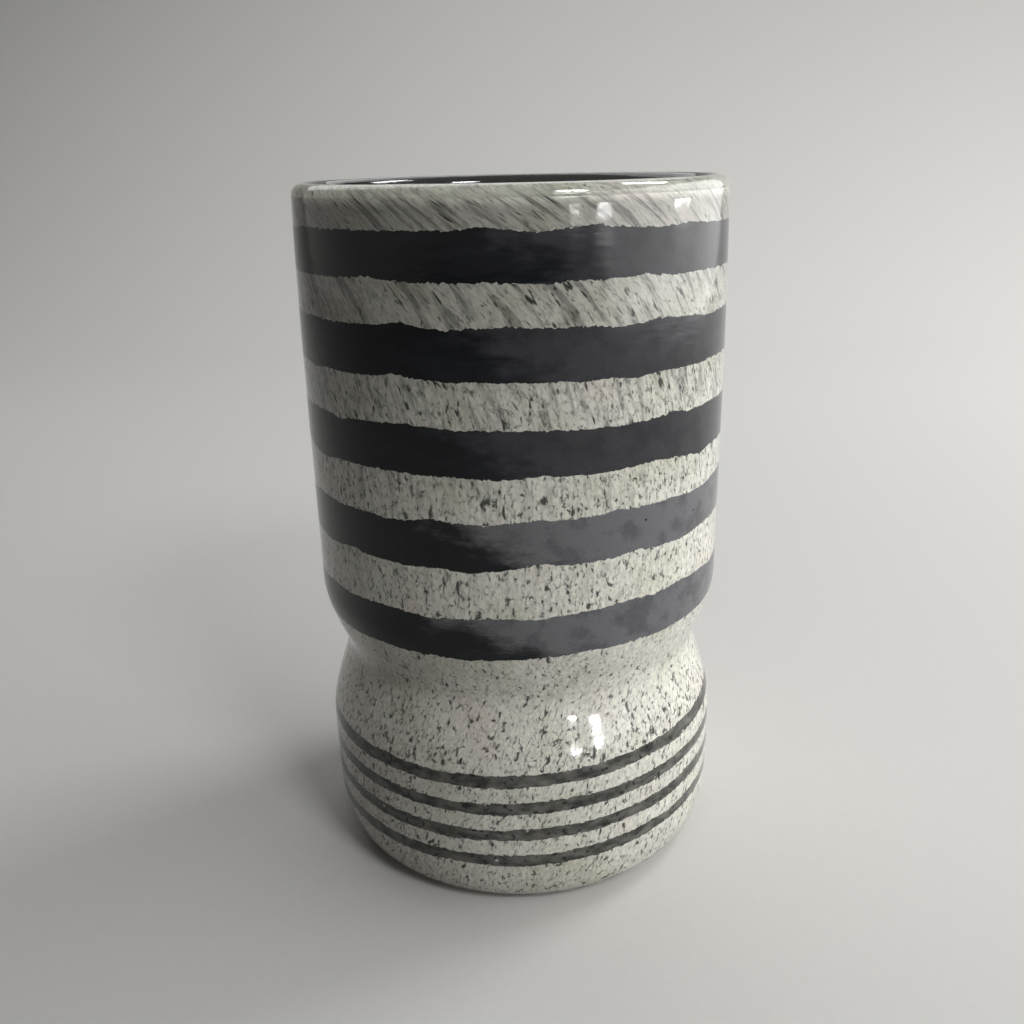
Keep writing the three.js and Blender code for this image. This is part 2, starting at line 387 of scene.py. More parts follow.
def lip_arc(outline, casing, start, end, steps):
    """Points round the lip's half-round section, a casing's thickness below it, between two angles"""
    size = bpy.context.scene.vase_outline
    back = size.speckled_wall + size.seam + size.lining_wall
    seat = RIM - size.lip_height
    outer = surface(outline, length_at(outline, seat))[0]
    inner = surface(outline, length_at(outline, seat, back), back)[0]
    points = []
    for step in range(steps + 1):
        angle = math.radians(start + (end - start) * step / steps)
        points.append(((outer + inner) / 2 + ((outer - inner) / 2 - casing) * math.cos(angle),
                       seat + (size.lip_height - casing) * math.sin(angle)))
    return points


def lip_tongue(outline, start, end):
    """The rounded end of a layer inside the clear lip"""
    size = bpy.context.scene.vase_outline
    half_seam = math.degrees(size.seam / 2 / size.lip_height)
    # From 6 degrees above the seat to half a seam short of the other layer
    way = 1 if end > start else -1
    return lip_arc(outline, size.lip_casing, start + 6 * way, end - half_seam * way, 8)


def speckled_layer():
    """The speckled layer: the polished hollow, the outer wall with a groove for each trail, and its back"""
    size = bpy.context.scene.vase_outline
    trails = bpy.context.scene.vase_trails
    outline = outline_table()
    seat = length_at(outline, RIM - size.lip_height)
    section = []
    inset = [FAR_IN] * 7
    for step in range(6):
        t = step / 5
        section.append((t * size.hollow_radius, size.hollow_depth * (1 - t * t)))
    section.append((size.foot_radius, 0.0))
    edges = trail_edges(outline)
    starts = [0.0, *edges[1::2]]
    ends = [*edges[::2], seat]
    turns = len(edges) // 2
    for turn, (start, end) in enumerate(zip(starts, ends)):
        rows = max(2, round(float(np.mean(end - start)) / ROW_HEIGHT))
        if turn > 0:
            section.append(surface(outline, start))
            inset.append(0.0)
        section += wall_rows(start, end, rows, 0.0, outline)
        below = start if turn > 0 else None
        above = end if turn < turns else None
        inset += insets(below, above, start, end, rows)
        section.append(surface(outline, end))
        inset.append(0.0 if turn < turns else FAR_IN)
        if turn < turns:
            inset += [0.0, 0.0, 0.0]
            upper = edges[2 * turn + 1]
            section.append(surface(outline, end, trails.depth))
            section += wall_rows(end, upper, 1, trails.depth, outline)
            section.append(surface(outline, upper, trails.depth))
    bottom = length_at(outline, size.speckled_floor, size.speckled_wall)
    top = length_at(outline, RIM - size.lip_height, size.speckled_wall)
    # The last point stays just inside the edge of the clear lip
    section[-1] = (section[-1][0] - 0.02 * MM, section[-1][1])
    section += lip_tongue(outline, 0, 90)
    section.append(surface(outline, top, size.speckled_wall))
    section += wall_rows(top, bottom, 26, size.speckled_wall, outline)
    section.append(surface(outline, bottom, size.speckled_wall))
    section.append((0.0, size.speckled_floor))
    return turned("speckled_layer_glass", section, trails.columns, open_ends=True, inset=inset)


def trail_piece(name, lower, upper):
    """One turn of glass in its groove, flush with the wall"""
    trails = bpy.context.scene.vase_trails
    outline = outline_table()
    rows = max(2, round(float(np.mean(upper - lower)) / ROW_HEIGHT))
    section = [surface(outline, lower)]
    section += wall_rows(lower, upper, rows, 0.0, outline)
    section.append(surface(outline, upper))
    inset = [0.0, *insets(lower, upper, lower, upper, rows), 0.0, 0.0, FAR_IN, 0.0]
    section.append(surface(outline, upper, trails.depth))
    section += wall_rows(upper, lower, 1, trails.depth, outline)
    section.append(surface(outline, lower, trails.depth))
    return turned(name, section, trails.columns, inset=inset)


def dark_lining():
    """The dark lining, with its inside rounded into a thick floor"""
    size = bpy.context.scene.vase_outline
    outline = outline_table()
    face = size.speckled_wall + size.seam
    back = face + size.lining_wall
    underside = size.speckled_floor + size.seam
    floor = underside + size.lining_floor
    bottom = length_at(outline, underside, face)
    top = length_at(outline, RIM - size.lip_height, face)
    corner = length_at(outline, floor + size.floor_round, back)
    inner_top = length_at(outline, RIM - size.lip_height, back)
    section = [(0.0, underside), surface(outline, bottom, face)]
    section += wall_rows(bottom, top, 40, face, outline)
    section.append(surface(outline, top, face))
    section += lip_tongue(outline, 180, 90)[::-1]
    section.append(surface(outline, inner_top, back))
    section += wall_rows(inner_top, corner, 48, back, outline)
    end = surface(outline, corner, back)
    for step in range(12):
        t = 1 - step / 12
        radius = (1 - t) ** 2 * (end[0] - size.floor_round) + (2 * (1 - t) * t + t * t) * end[0]
        height = (1 - t * t) * floor + t * t * end[1]
        section.append((radius, height))
    section += [(end[0] - size.floor_round, floor), (0.0, floor)]
    return turned("dark_lining_glass", section, 256, open_ends=True)


def clear_lip():
    """The fire-polished lip: half a round that closes over both layers"""
    return turned("clear_lip_glass", lip_arc(outline_table(), 0.0, 0, 180, 24), 256)


# Materials

def new_material(name):
    """An empty material with its shader, and the piece's own coordinates in millimetres"""
    material = bpy.data.materials.new(name)
    material.use_nodes = True
    tree = material.node_tree
    tree.nodes.clear()
    shader = add(tree, "BsdfPrincipled")
    add(tree, "OutputMaterial", {"Surface": shader.outputs["BSDF"]})
    place = add(tree, "TexCoord").outputs["Object"]
    place = add(tree, "VectorMath", {0: place, "Scale": 1 / MM}, operation="SCALE").outputs[0]
    return material, tree, shader, place


def inset_of(tree):
    """How far in from the edge of its glass the surface lies, in millimetres"""
    return add(tree, "Attribute", attribute_name="inset").outputs["Fac"]


def edge_shift(tree, place):
    """Small crooked teeth, the same on both sides of an edge: how far the dark glass runs out over the
    white, in millimetres, or back when it is negative"""
    slim = add(tree, "VectorMath", {0: place, 1: (1.0, 1.0, 0.3)}, operation="MULTIPLY").outputs[0]
    teeth = add(tree, "TexNoise", {"Vector": slim, "Scale": 1 / 1.4, "Detail": 2.0,
                                   "Roughness": 0.6}).outputs[0]
    teeth = add(tree, "Math", {0: teeth, 1: 0.5}, operation="SUBTRACT").outputs[0]
    reach = add(tree, "TexNoise", {"Vector": place, "Scale": 1 / 9}).outputs[0]
    reach = add(tree, "MapRange", {"Value": reach, "From Min": 0.35, "From Max": 0.65, "To Min": 0.6,
                                   "To Max": 2.4}).outputs[0]
    return add(tree, "Math", {0: teeth, 1: reach}, operation="MULTIPLY").outputs[0]


def white_teeth(tree, place, colour):
    """The same teeth on a trail, where the white glass shows between them"""
    tooth = add(tree, "Math", {0: edge_shift(tree, place), 1: inset_of(tree)}).outputs[0]
    tooth = add(tree, "MapRange", {"Value": tooth, "From Min": 0.06, "From Max": -0.06}).outputs[0]
    return add(tree, "Mix", {0: tooth, 6: colour, 7: hex_colour("#c9c8c0")}, data_type="RGBA").outputs[2]


def speckled_glass():
    """Opaque white glass rolled in coarse frit, blown smooth and glossy: pale chips fused side by side,
    with grey joints and dark grains caught between them. Towards the rim the hot glass was dragged round,
    which pulls them aslant."""
    material, tree, shader, place = new_material("white_frit_glass")
    level = add(tree, "SeparateXYZ", {0: place}).outputs["Z"]
    height = add(tree, "Math", {0: level, 1: MM / RIM}, operation="MULTIPLY").outputs[0]

    # The drag turns the pattern round the axis: a little one way on the bulb, then back, faster and faster
    below = add(tree, "Math", {0: level, 1: 80.0}, operation="MINIMUM").outputs[0]
    above = add(tree, "Math", {0: level, 1: 80.0}, operation="SUBTRACT").outputs[0]
    above = add(tree, "Math", {0: above, 1: 0.0}, operation="MAXIMUM").outputs[0]
    power = add(tree, "Math", {0: above, 1: 5.0}, operation="POWER").outputs[0]
    twist = add(tree, "Math", {0: power, 1: 7.0e-12}, operation="MULTIPLY").outputs[0]
    twist = add(tree, "Math", {0: below, 1: -0.0035, 2: twist}, operation="MULTIPLY_ADD").outputs[0]
    dragged = add(tree, "VectorRotate", {"Vector": place, "Angle": twist}, rotation_type="Z_AXIS").outputs[0]

    # Chips about 2 mm wide and 4 mm high with crooked sides, each hardly different in tone, mottled inside
    crook = add(tree, "TexNoise", {"Vector": dragged, "Scale": 1 / 1.4, "Detail": 2.0}).outputs["Color"]
    crook = add(tree, "VectorMath", {0: crook, 1: (0.5, 0.5, 0.5)}, operation="SUBTRACT").outputs[0]
    crook = add(tree, "VectorMath", {0: crook, "Scale": 1.8}, operation="SCALE").outputs[0]
    crooked = add(tree, "VectorMath", {0: dragged, 1: crook}).outputs[0]
    upright = add(tree, "VectorMath", {0: crooked, 1: (1.0, 1.0, 0.55)}, operation="MULTIPLY").outputs[0]
    joint = add(tree, "TexVoronoi", {"Vector": upright, "Scale": 1 / 2.1},
                feature="DISTANCE_TO_EDGE").outputs[0]
    chip = add(tree, "TexVoronoi", {"Vector": upright, "Scale": 1 / 2.1}).outputs["Color"]
    chip_tone = add(tree, "MapRange", {"Value": chip, "To Min": 0.93, "To Max": 1.03}).outputs[0]
    mottle = add(tree, "TexNoise", {"Vector": upright, "Scale": 1 / 0.8, "Detail": 2.0}).outputs[0]
    mottle_tone = add(tree, "MapRange", {"Value": mottle, "From Min": 0.3, "From Max": 0.62, "To Min": 0.86,
                                         "To Max": 1.03}).outputs[0]
    joint_tone = add(tree, "MapRange", {"Value": joint, "From Max": 0.22, "To Min": 0.86, "To Max": 1.0},
                     interpolation_type="SMOOTHSTEP").outputs[0]

    # How many dark grains there are at each level: few at the waist, most just above the threads
    amount = fill_ramp(
        add(tree, "ValToRGB", {0: height}),
        (0.0, "#909090"), (0.20, "#a0a0a0"), (0.25, "#cccccc"), (0.30, "#a4a4a4"), (0.35, "#6c6c6c"),
        (0.42, "#808080"), (0.52, "#a0a0a0"), (0.66, "#b0b0b0"), (0.76, "#c2c2c2"), (0.88, "#a8a8a8"),
        (0.975, "#787878"), (0.988, "#303030"),
    )
    # Soft strokes along the drag, some 0.8 mm wide, and fainter ones half as wide
    along = add(tree, "VectorMath", {0: dragged, 1: (1.0, 1.0, 0.45)}, operation="MULTIPLY").outputs[0]
    stroke = add(tree, "TexNoise", {"Vector": along, "Scale": 1 / 1.75, "Detail": 1.5, "Roughness": 0.5,
                                    "Distortion": 0.3}).outputs[0]
    stroke = add(tree, "Math", {0: amount, 1: 0.09, 2: stroke}, operation="MULTIPLY_ADD").outputs[0]
    stroke = add(tree, "MapRange", {"Value": stroke, "From Min": 0.635, "From Max": 0.76, "To Max": 0.92},
                 interpolation_type="SMOOTHSTEP").outputs[0]
    faint = add(tree, "TexNoise", {"Vector": along, "Scale": 1 / 0.95, "Detail": 1.0}).outputs[0]
    faint = add(tree, "Math", {0: amount, 1: 0.06, 2: faint}, operation="MULTIPLY_ADD").outputs[0]
    faint = add(tree, "MapRange", {"Value": faint, "From Min": 0.60, "From Max": 0.74, "To Max": 0.5},
                interpolation_type="SMOOTHSTEP").outputs[0]
    # Veins that swell and fade along the joints, in branches, and few of them towards the rim
    patch = add(tree, "TexNoise", {"Vector": upright, "Scale": 1 / 1.7, "Detail": 1.0}).outputs[0]
    girth = add(tree, "Math", {0: amount, 1: 0.20, 2: -0.70}, operation="MULTIPLY_ADD").outputs[0]
    girth = add(tree, "Math", {0: patch, 1: 1.1, 2: girth}, operation="MULTIPLY_ADD").outputs[0]
    girth = add(tree, "Math", {0: girth, 1: 0.17}, operation="MINIMUM").outputs[0]
    branch = add(tree, "Math", {0: girth, 1: joint}, operation="SUBTRACT").outputs[0]
    branch = add(tree, "MapRange", {"Value": branch, "From Min": -0.07, "From Max": 0.13, "To Max": 0.9},
                 interpolation_type="SMOOTHSTEP").outputs[0]
    fewer = add(tree, "MapRange", {"Value": level, "From Min": 155.0, "From Max": 195.0, "To Min": 1.0,
                                   "To Max": 0.25}).outputs[0]
    branch = add(tree, "Math", {0: branch, 1: fewer}, operation="MULTIPLY").outputs[0]
    # Single round grains, some 4 mm apart
    spot = add(tree, "TexVoronoi", {"Vector": crooked, "Scale": 1 / 3.9})
    spot_size = add(tree, "MapRange", {"Value": spot.outputs["Color"], "From Min": 0.5,
                                       "To Max": 0.13}).outputs[0]
    spot_edge = add(tree, "Math", {0: spot_size, 1: spot.outputs["Distance"]},
                    operation="SUBTRACT").outputs[0]
    spot_mask = add(tree, "MapRange", {"Value": spot_edge, "From Min": -0.06, "From Max": 0.08,
                                       "To Max": 0.95}, interpolation_type="SMOOTHSTEP").outputs[0]
    dark = add(tree, "Math", {0: branch, 1: spot_mask}, operation="MAXIMUM").outputs[0]
    dark = add(tree, "Math", {0: dark, 1: stroke}, operation="MAXIMUM").outputs[0]
    dark = add(tree, "Math", {0: dark, 1: faint}, operation="MAXIMUM").outputs[0]

    # Long soft streaks of grey, strongest at the rim
    long = add(tree, "VectorMath", {0: dragged, 1: (1.0, 1.0, 0.2)}, operation="MULTIPLY").outputs[0]
    streak = add(tree, "TexNoise", {"Vector": long, "Scale": 1 / 2.6, "Detail": 2.5,
                                    "Distortion": 0.4}).outputs[0]
    streak = add(tree, "MapRange", {"Value": streak, "From Min": 0.32, "From Max": 0.52, "To Min": 0.25},
                 interpolation_type="SMOOTHSTEP").outputs[0]
    drag = add(tree, "MapRange", {"Value": level, "From Min": 90.0, "From Max": 232.0, "To Min": 0.1,
                                  "To Max": 0.8}).outputs[0]
    # Inside the clear lip the grey streaks fade to half: painted light against the shade under the clear
    # glass
    painted_lip_light = add(tree, "MapRange", {"Value": level, "From Min": 235.8, "From Max": 236.6, "To Min": 1.0,
                                    "To Max": 0.5}).outputs[0]
    drag = add(tree, "Math", {0: drag, 1: painted_lip_light}, operation="MULTIPLY").outputs[0]
    streak_tone = add(tree, "Mix", {0: drag, 2: 1.0, 3: streak}).outputs[0]

    # The white is a little greyer towards the rim, then clean and painted lighter inside the clear lip,
    # where less light reaches it through the clear glass: painted light against that shade. It has faint
    # olive and warm clouds
    rim_grey_and_painted_lip_light = fill_ramp(
        add(tree, "ValToRGB", {0: height}),
        (0.0, "#fcfcfc"), (0.5, "#ffffff"), (0.62, "#fafafa"), (0.74, "#ececec"), (0.86, "#d6d6d6"),
        (0.974, "#c0c0c0"), (0.986, "#ffffff"),
    )
    cloud = add(tree, "TexNoise", {"Vector": place, "Scale": 1 / 24, "Detail": 2.0}).outputs[0]
    olive = add(tree, "MapRange", {"Value": cloud, "From Min": 0.48, "From Max": 0.72,
                                   "To Max": 0.5}).outputs[0]
    white = add(tree, "Mix", {0: olive, 6: chosen("pale_glass"), 7: chosen("olive_cloud")},
                data_type="RGBA").outputs[2]
    warm = add(tree, "MapRange", {"Value": cloud, "From Min": 0.46, "From Max": 0.30,
                                  "To Max": 0.3}).outputs[0]
    white = add(tree, "Mix", {0: warm, 6: white, 7: chosen("warm_cloud")}, data_type="RGBA").outputs[2]
    for tone in (rim_grey_and_painted_lip_light, chip_tone, mottle_tone, joint_tone, streak_tone):
        white = add(tree, "VectorMath", {0: white, "Scale": tone}, operation="SCALE").outputs[0]
    colour = add(tree, "Mix", {0: dark, 6: white, 7: chosen("grains")}, data_type="RGBA").outputs[2]

    # Small teeth of the trails' dark glass along their edges
    tooth = add(tree, "Math", {0: edge_shift(tree, place), 1: inset_of(tree)},
                operation="SUBTRACT").outputs[0]
    tooth = add(tree, "MapRange", {"Value": tooth, "From Min": -0.06, "From Max": 0.06}).outputs[0]
    colour = add(tree, "Mix", {0: tooth, 6: colour, 7: hex_colour("#1a1b1f")}, data_type="RGBA").outputs[2]
    tree.links.new(colour, shader.inputs["Base Color"])

    ripple = add(tree, "TexNoise", {"Vector": place, "Scale": 1 / 7, "Detail": 1.0}).outputs[0]
    bump = add(tree, "Bump", {"Height": ripple, "Strength": 0.2, "Distance": 0.5 * MM})
    tree.links.new(bump.outputs[0], shader.inputs["Normal"])
    shader.inputs["Roughness"].default_value = 0.09
    shader.inputs["IOR"].default_value = 1.5
    return material


def band_glass():
    """Dark trail glass laid on hot: nearly black where it is thick, smoky where it was drawn thin"""
    material, tree, shader, place = new_material("dark_trail_glass")
    split = add(tree, "SeparateXYZ", {0: place})
    across, level = split.outputs["X"], split.outputs["Z"]
    drawn = add(tree, "VectorMath", {0: place, 1: (1.0, 1.0, 2.6)}, operation="MULTIPLY").outputs[0]
    cloud = add(tree, "TexNoise", {"Vector": drawn, "Scale": 1 / 16, "Detail": 5.0,
                                   "Roughness": 0.6}).outputs[0]
    fine = add(tree, "TexNoise", {"Vector": drawn, "Scale": 1 / 1.1, "Detail": 3.0,
                                  "Roughness": 0.7}).outputs[0]

    # The two turns above the waist are drawn thin on one side
    shift = add(tree, "Math", {0: cloud, 1: 70.0, 2: -35.0}, operation="MULTIPLY_ADD").outputs[0]
    side = add(tree, "Math", {0: across, 1: shift}).outputs[0]
    # The thin stretch starts on a slant: further round at the lower edge of each turn, 31.2 mm apart
    slant = add(tree, "Math", {0: level, 1: 89.0}, operation="SUBTRACT").outputs[0]
    slant = add(tree, "Math", {0: slant, 1: 31.2}, operation="MODULO").outputs[0]
    slant = add(tree, "Math", {0: slant, 1: 1.9, 2: -1.9 * 15.6}, operation="MULTIPLY_ADD").outputs[0]
    side = add(tree, "Math", {0: side, 1: slant}).outputs[0]
    thin = add(tree, "MapRange", {"Value": side, "From Min": -22.0, "From Max": 4.0},
               interpolation_type="SMOOTHSTEP").outputs[0]
    low = add(tree, "MapRange", {"Value": level, "From Min": 152.0, "From Max": 146.0,
                                 "To Min": 0.22}).outputs[0]
    smoke = add(tree, "Math", {0: thin, 1: low}, operation="MULTIPLY").outputs[0]
    mottle = add(tree, "MapRange", {"Value": fine, "From Min": 0.3, "From Max": 0.7, "To Min": 0.75,
                                    "To Max": 1.15}).outputs[0]
    smoke = add(tree, "Math", {0: smoke, 1: mottle}, operation="MULTIPLY").outputs[0]
    blotch = add(tree, "TexNoise", {"Vector": place, "Scale": 1 / 8, "Detail": 2.0}).outputs[0]
    blotch = add(tree, "MapRange", {"Value": blotch, "From Min": 0.32, "From Max": 0.6, "To Min": 0.68,
                                    "To Max": 1.1}, interpolation_type="SMOOTHSTEP").outputs[0]
    smoke = add(tree, "Math", {0: smoke, 1: blotch}, operation="MULTIPLY", use_clamp=True).outputs[0]
    haze = add(tree, "MapRange", {"Value": cloud, "From Min": 0.42, "From Max": 0.75,
                                  "To Max": 0.6}).outputs[0]
    body = add(tree, "Mix", {0: haze, 6: chosen("trail_glass"), 7: hex_colour("#24272f")},
               data_type="RGBA").outputs[2]
    body = add(tree, "Mix", {0: smoke, 6: body, 7: chosen("smoke")}, data_type="RGBA").outputs[2]

    # Small black pits and grains
    grain = add(tree, "TexVoronoi", {"Vector": place, "Scale": 1 / 5})
    size = add(tree, "MapRange", {"Value": grain.outputs["Color"], "From Min": 0.55,
                                  "To Max": 0.14}).outputs[0]
    edge = add(tree, "Math", {0: size, 1: grain.outputs["Distance"]}, operation="SUBTRACT").outputs[0]
    pit = add(tree, "MapRange", {"Value": edge, "From Min": -0.03, "From Max": 0.04}).outputs[0]
    colour = add(tree, "Mix", {0: pit, 6: body, 7: hex_colour("#08090b")}, data_type="RGBA").outputs[2]

    colour = white_teeth(tree, place, colour)
    tree.links.new(colour, shader.inputs["Base Color"])

    ripple = add(tree, "TexNoise", {"Vector": drawn, "Scale": 1 / 9, "Detail": 2.0}).outputs[0]
    bump = add(tree, "Bump", {"Height": ripple, "Strength": 0.12, "Distance": 0.5 * MM})
    tree.links.new(bump.outputs[0], shader.inputs["Normal"])
    shader.inputs["Roughness"].default_value = 0.16
    shader.inputs["IOR"].default_value = 1.34
    return material


def thread_glass():
    """The same dark glass drawn to a thread, thin enough to look grey, with beads along its lower side"""
    material, tree, shader, place = new_material("drawn_thread_glass")
    drawn = add(tree, "VectorMath", {0: place, 1: (1.0, 1.0, 2.0)}, operation="MULTIPLY").outputs[0]
    cloud = add(tree, "TexNoise", {"Vector": drawn, "Scale": 1 / 6, "Detail": 4.0}).outputs[0]
    tone = add(tree, "MapRange", {"Value": cloud, "From Min": 0.35, "From Max": 0.65}).outputs[0]
    body = add(tree, "Mix", {0: tone, 6: hex_colour("#31322f"), 7: chosen("thread_glass")},
               data_type="RGBA").outputs[2]
    bead = add(tree, "TexNoise", {"Vector": place, "Scale": 1 / 2.6, "Detail": 2.0}).outputs[0]
    bead = add(tree, "MapRange", {"Value": bead, "From Min": 0.58, "From Max": 0.70, "To Max": 0.9},
               interpolation_type="SMOOTHSTEP").outputs[0]
    colour = add(tree, "Mix", {0: bead, 6: body, 7: hex_colour("#161715")}, data_type="RGBA").outputs[2]
    chip = add(tree, "TexVoronoi", {"Vector": place, "Scale": 1 / 9}).outputs["Distance"]
    chip = add(tree, "MapRange", {"Value": chip, "From Min": 0.08, "From Max": 0.05,
                                  "To Max": 0.8}).outputs[0]
    colour = add(tree, "Mix", {0: chip, 6: colour, 7: hex_colour("#c9c8c0")}, data_type="RGBA").outputs[2]
    colour = white_teeth(tree, place, colour)
    tree.links.new(colour, shader.inputs["Base Color"])
    shader.inputs["Roughness"].default_value = 0.14
    shader.inputs["IOR"].default_value = 1.38
    return material


def lining_glass():
    """Smooth dark glass, nearly black inside"""
    material, tree, shader, place = new_material("dark_lining_glass")
    cloud = add(tree, "TexNoise", {"Vector": place, "Scale": 1 / 30, "Detail": 3.0}).outputs[0]
    colour = add(tree, "Mix", {0: cloud, 6: hex_colour("#08090a"), 7: chosen("lining_glass")},
                 data_type="RGBA").outputs[2]
    tree.links.new(colour, shader.inputs["Base Color"])
    ripple = add(tree, "TexNoise", {"Vector": place, "Scale": 1 / 22, "Detail": 1.0}).outputs[0]
    bump = add(tree, "Bump", {"Height": ripple, "Strength": 0.4, "Distance": 1.0 * MM})
    tree.links.new(bump.outputs[0], shader.inputs["Normal"])
    shader.inputs["Roughness"].default_value = 0.08
    shader.inputs["IOR"].default_value = 1.5
    return material


def clear_glass():
    """Clear soda glass, fire-polished to a soft round"""
    material, tree, shader, place = new_material("clear_lip_glass")
    ripple = add(tree, "TexNoise", {"Vector": place, "Scale": 1 / 6, "Detail": 1.0}).outputs[0]
    tint = add(tree, "Mix", {0: ripple, 6: hex_colour("#e6ebe9"), 7: chosen("clear_glass")},
               data_type="RGBA").outputs[2]
    tree.links.new(tint, shader.inputs["Base Color"])
    bump = add(tree, "Bump", {"Height": ripple, "Strength": 0.3, "Distance": 0.4 * MM})
    tree.links.new(bump.outputs[0], shader.inputs["Normal"])
    shader.inputs["Transmission Weight"].default_value = 1.0
    shader.inputs["Roughness"].default_value = 0.03
    shader.inputs["IOR"].default_value = 1.5
    return material


def seen_directly(tree):
    """One for a camera, glossy or transmission ray, and nothing for the rays that light the vase"""
    ray = add(tree, "LightPath").outputs
    seen = add(tree, "Math", {0: ray["Is Camera Ray"], 1: ray["Is Glossy Ray"]}).outputs[0]
    return add(tree, "Math", {0: seen, 1: ray["Is Transmission Ray"]}, use_clamp=True).outputs[0]


def floor_paper():
    """Matt pale studio paper, darker for diffuse rays, so that it throws less light back on the vase"""
    material, tree, shader, place = new_material("studio_paper")
    grain = add(tree, "TexNoise", {"Vector": place, "Scale": 1 / 4}).outputs[0]
    tone = add(tree, "Mix", {0: grain, 6: hex_colour("#cecdca"), 7: chosen("paper")},
               data_type="RGBA").outputs[2]
    paper = add(tree, "Mix", {0: seen_directly(tree), 6: hex_colour("#7c7b79"), 7: tone},
                data_type="RGBA").outputs[2]
    tree.links.new(paper, shader.inputs["Base Color"])
    shader.inputs["Roughness"].default_value = 0.9
    shader.inputs["Specular IOR Level"].default_value = 0.2
    return material


# Stage: the paper's width and length, how far it lies forward, its wall and the round between them
PAPER_WIDTH = 3.6
PAPER_LENGTH = 4.4
PAPER_FORWARD = 0.6
PAPER_WALL = 2.6
PAPER_ROUND = 0.7

# The camera: tilt and roll in degrees, distance and height in millimetres, and the focal length and
# the shift of the middle in pixels of a picture 1024 wide
PICTURE = 1024
CAMERA_TILT = 19.626
CAMERA_ROLL = -1.284
CAMERA_DISTANCE = 352.21
CAMERA_HEIGHT = 246.87
CAMERA_FOCUS = 1000
CAMERA_SHIFT = -5.404

# Each lamp's name, place, target, width, height, power in watts and spread in degrees. The window wall
# lights the right side, and the strips only make the glints below the rim and on the bulb.
LAMPS = (
    ("window_wall", (1.26, 0.2, 0.48), (0.0, 0.2, 0.2), 3.0, 1.1, 20, 140),
    ("front_softbox", (0.55, -0.84, 1.0), (0, 0, 0.13), 0.3, 0.3, 4.9, 180),
    ("top_softbox", (1.0, 0.55, 1.6), (0, 0, 0.1), 0.5, 0.5, 9, 180),
    ("back_softbox", (-0.25, 1.15, 1.25), (0, 0, 0.13), 2.0, 1.1, 9, 180),
    ("strip_1", (1.105, -1.108, 0.27), (0, 0, 0.235), 0.17, 0.03, 0.5, 180),
    ("strip_2", (0.802, -1.349, 0.252), (0, 0, 0.235), 0.16, 0.016, 0.26, 180),
    ("strip_3", (1.126, -1.087, 0.225), (0, 0, 0.235), 0.21, 0.014, 0.27, 180),
    ("strip_4", (1.543, 0.085, 0.245), (0, 0, 0.235), 0.31, 0.035, 1.0, 180),
    ("low_strip_1", (1.061, -1.149, 0.08), (0, 0, 0.05), 0.17, 0.035, 0.0042, 9),
    ("low_strip_2", (0.757, -1.373, 0.06), (0, 0, 0.05), 0.12, 0.035, 0.0028, 9),
)


def paper_sweep():
    """A sheet of paper on the table that rises in a round behind the vase"""
    bpy.ops.object.select_all(action="DESELECT")
    bpy.ops.mesh.primitive_plane_add(size=1)
    floor = bpy.context.object
    floor.name = floor.data.name = "paper_sweep"
    for vertex in floor.data.vertices:
        vertex.co = (vertex.co.x * PAPER_WIDTH, vertex.co.y * PAPER_LENGTH - PAPER_FORWARD, 0)
    bpy.ops.object.mode_set(mode="EDIT")
    bpy.ops.mesh.select_mode(type="EDGE")
    bpy.ops.mesh.select_all(action="DESELECT")
    bpy.ops.object.mode_set(mode="OBJECT")
    back = max(vertex.co.y for vertex in floor.data.vertices)
    for edge in floor.data.edges:
        edge.select = all(floor.data.vertices[i].co.y > back - MM for i in edge.vertices)
    bpy.ops.object.mode_set(mode="EDIT")
    bpy.ops.mesh.extrude_region_move(TRANSFORM_OT_translate={"value": (0, 0, PAPER_WALL)})
    bpy.ops.mesh.select_all(action="DESELECT")
    bpy.ops.object.mode_set(mode="OBJECT")
    for edge in floor.data.edges:
        ends = [floor.data.vertices[i].co for i in edge.vertices]
        edge.select = all(end.y > back - MM and end.z < MM for end in ends)
    bpy.ops.object.mode_set(mode="EDIT")
    bpy.ops.mesh.bevel(offset=PAPER_ROUND, segments=16)
    bpy.ops.mesh.select_mode(type="VERT")
    bpy.ops.object.mode_set(mode="OBJECT")
    bpy.ops.object.shade_smooth()
    floor.data.materials.append(floor_paper())
    return floor


def lamp(name, place, target, width, height, power, spread):
    """An area lamp that faces a target"""
    aim = (Vector(target) - Vector(place)).to_track_quat("-Z", "Y").to_euler()
    bpy.ops.object.light_add(type="AREA", location=place, rotation=aim)
    light = bpy.context.object
    light.name = light.data.name = name
    light.data.shape = "RECTANGLE"
    light.data.size = width
    light.data.size_y = height
    light.data.energy = power
    light.data.spread = math.radians(spread)


def studio_air():
    """The air is seen pale, and sends the vase hardly any light"""
    world = bpy.data.worlds.new("studio_air")
    bpy.context.scene.world = world
    world.use_nodes = True
    tree = world.node_tree
    background = tree.nodes["Background"]
    background.inputs["Color"].default_value = hex_colour("#dcdad6")
    strength = add(tree, "MapRange", {"Value": seen_directly(tree), "To Min": 0.07,
                                      "To Max": 0.6}).outputs[0]
    tree.links.new(strength, background.inputs["Strength"])


def view_camera():
    """The camera that took the photograph, as fitted to it"""
    tilt = Matrix.Rotation(math.radians(90 - CAMERA_TILT), 3, "X")
    turn = tilt @ Matrix.Rotation(math.radians(CAMERA_ROLL), 3, "Z")
    place = (0, -CAMERA_DISTANCE * MM, CAMERA_HEIGHT * MM)
    bpy.ops.object.camera_add(location=place, rotation=turn.to_euler())
    camera = bpy.context.object
    camera.name = "view_camera"
    camera.data.sensor_width = 36
    camera.data.lens = 36 * CAMERA_FOCUS / PICTURE
    camera.data.shift_x = CAMERA_SHIFT / PICTURE
    camera.data.clip_start = 0.02
    bpy.context.scene.camera = camera


# Operators

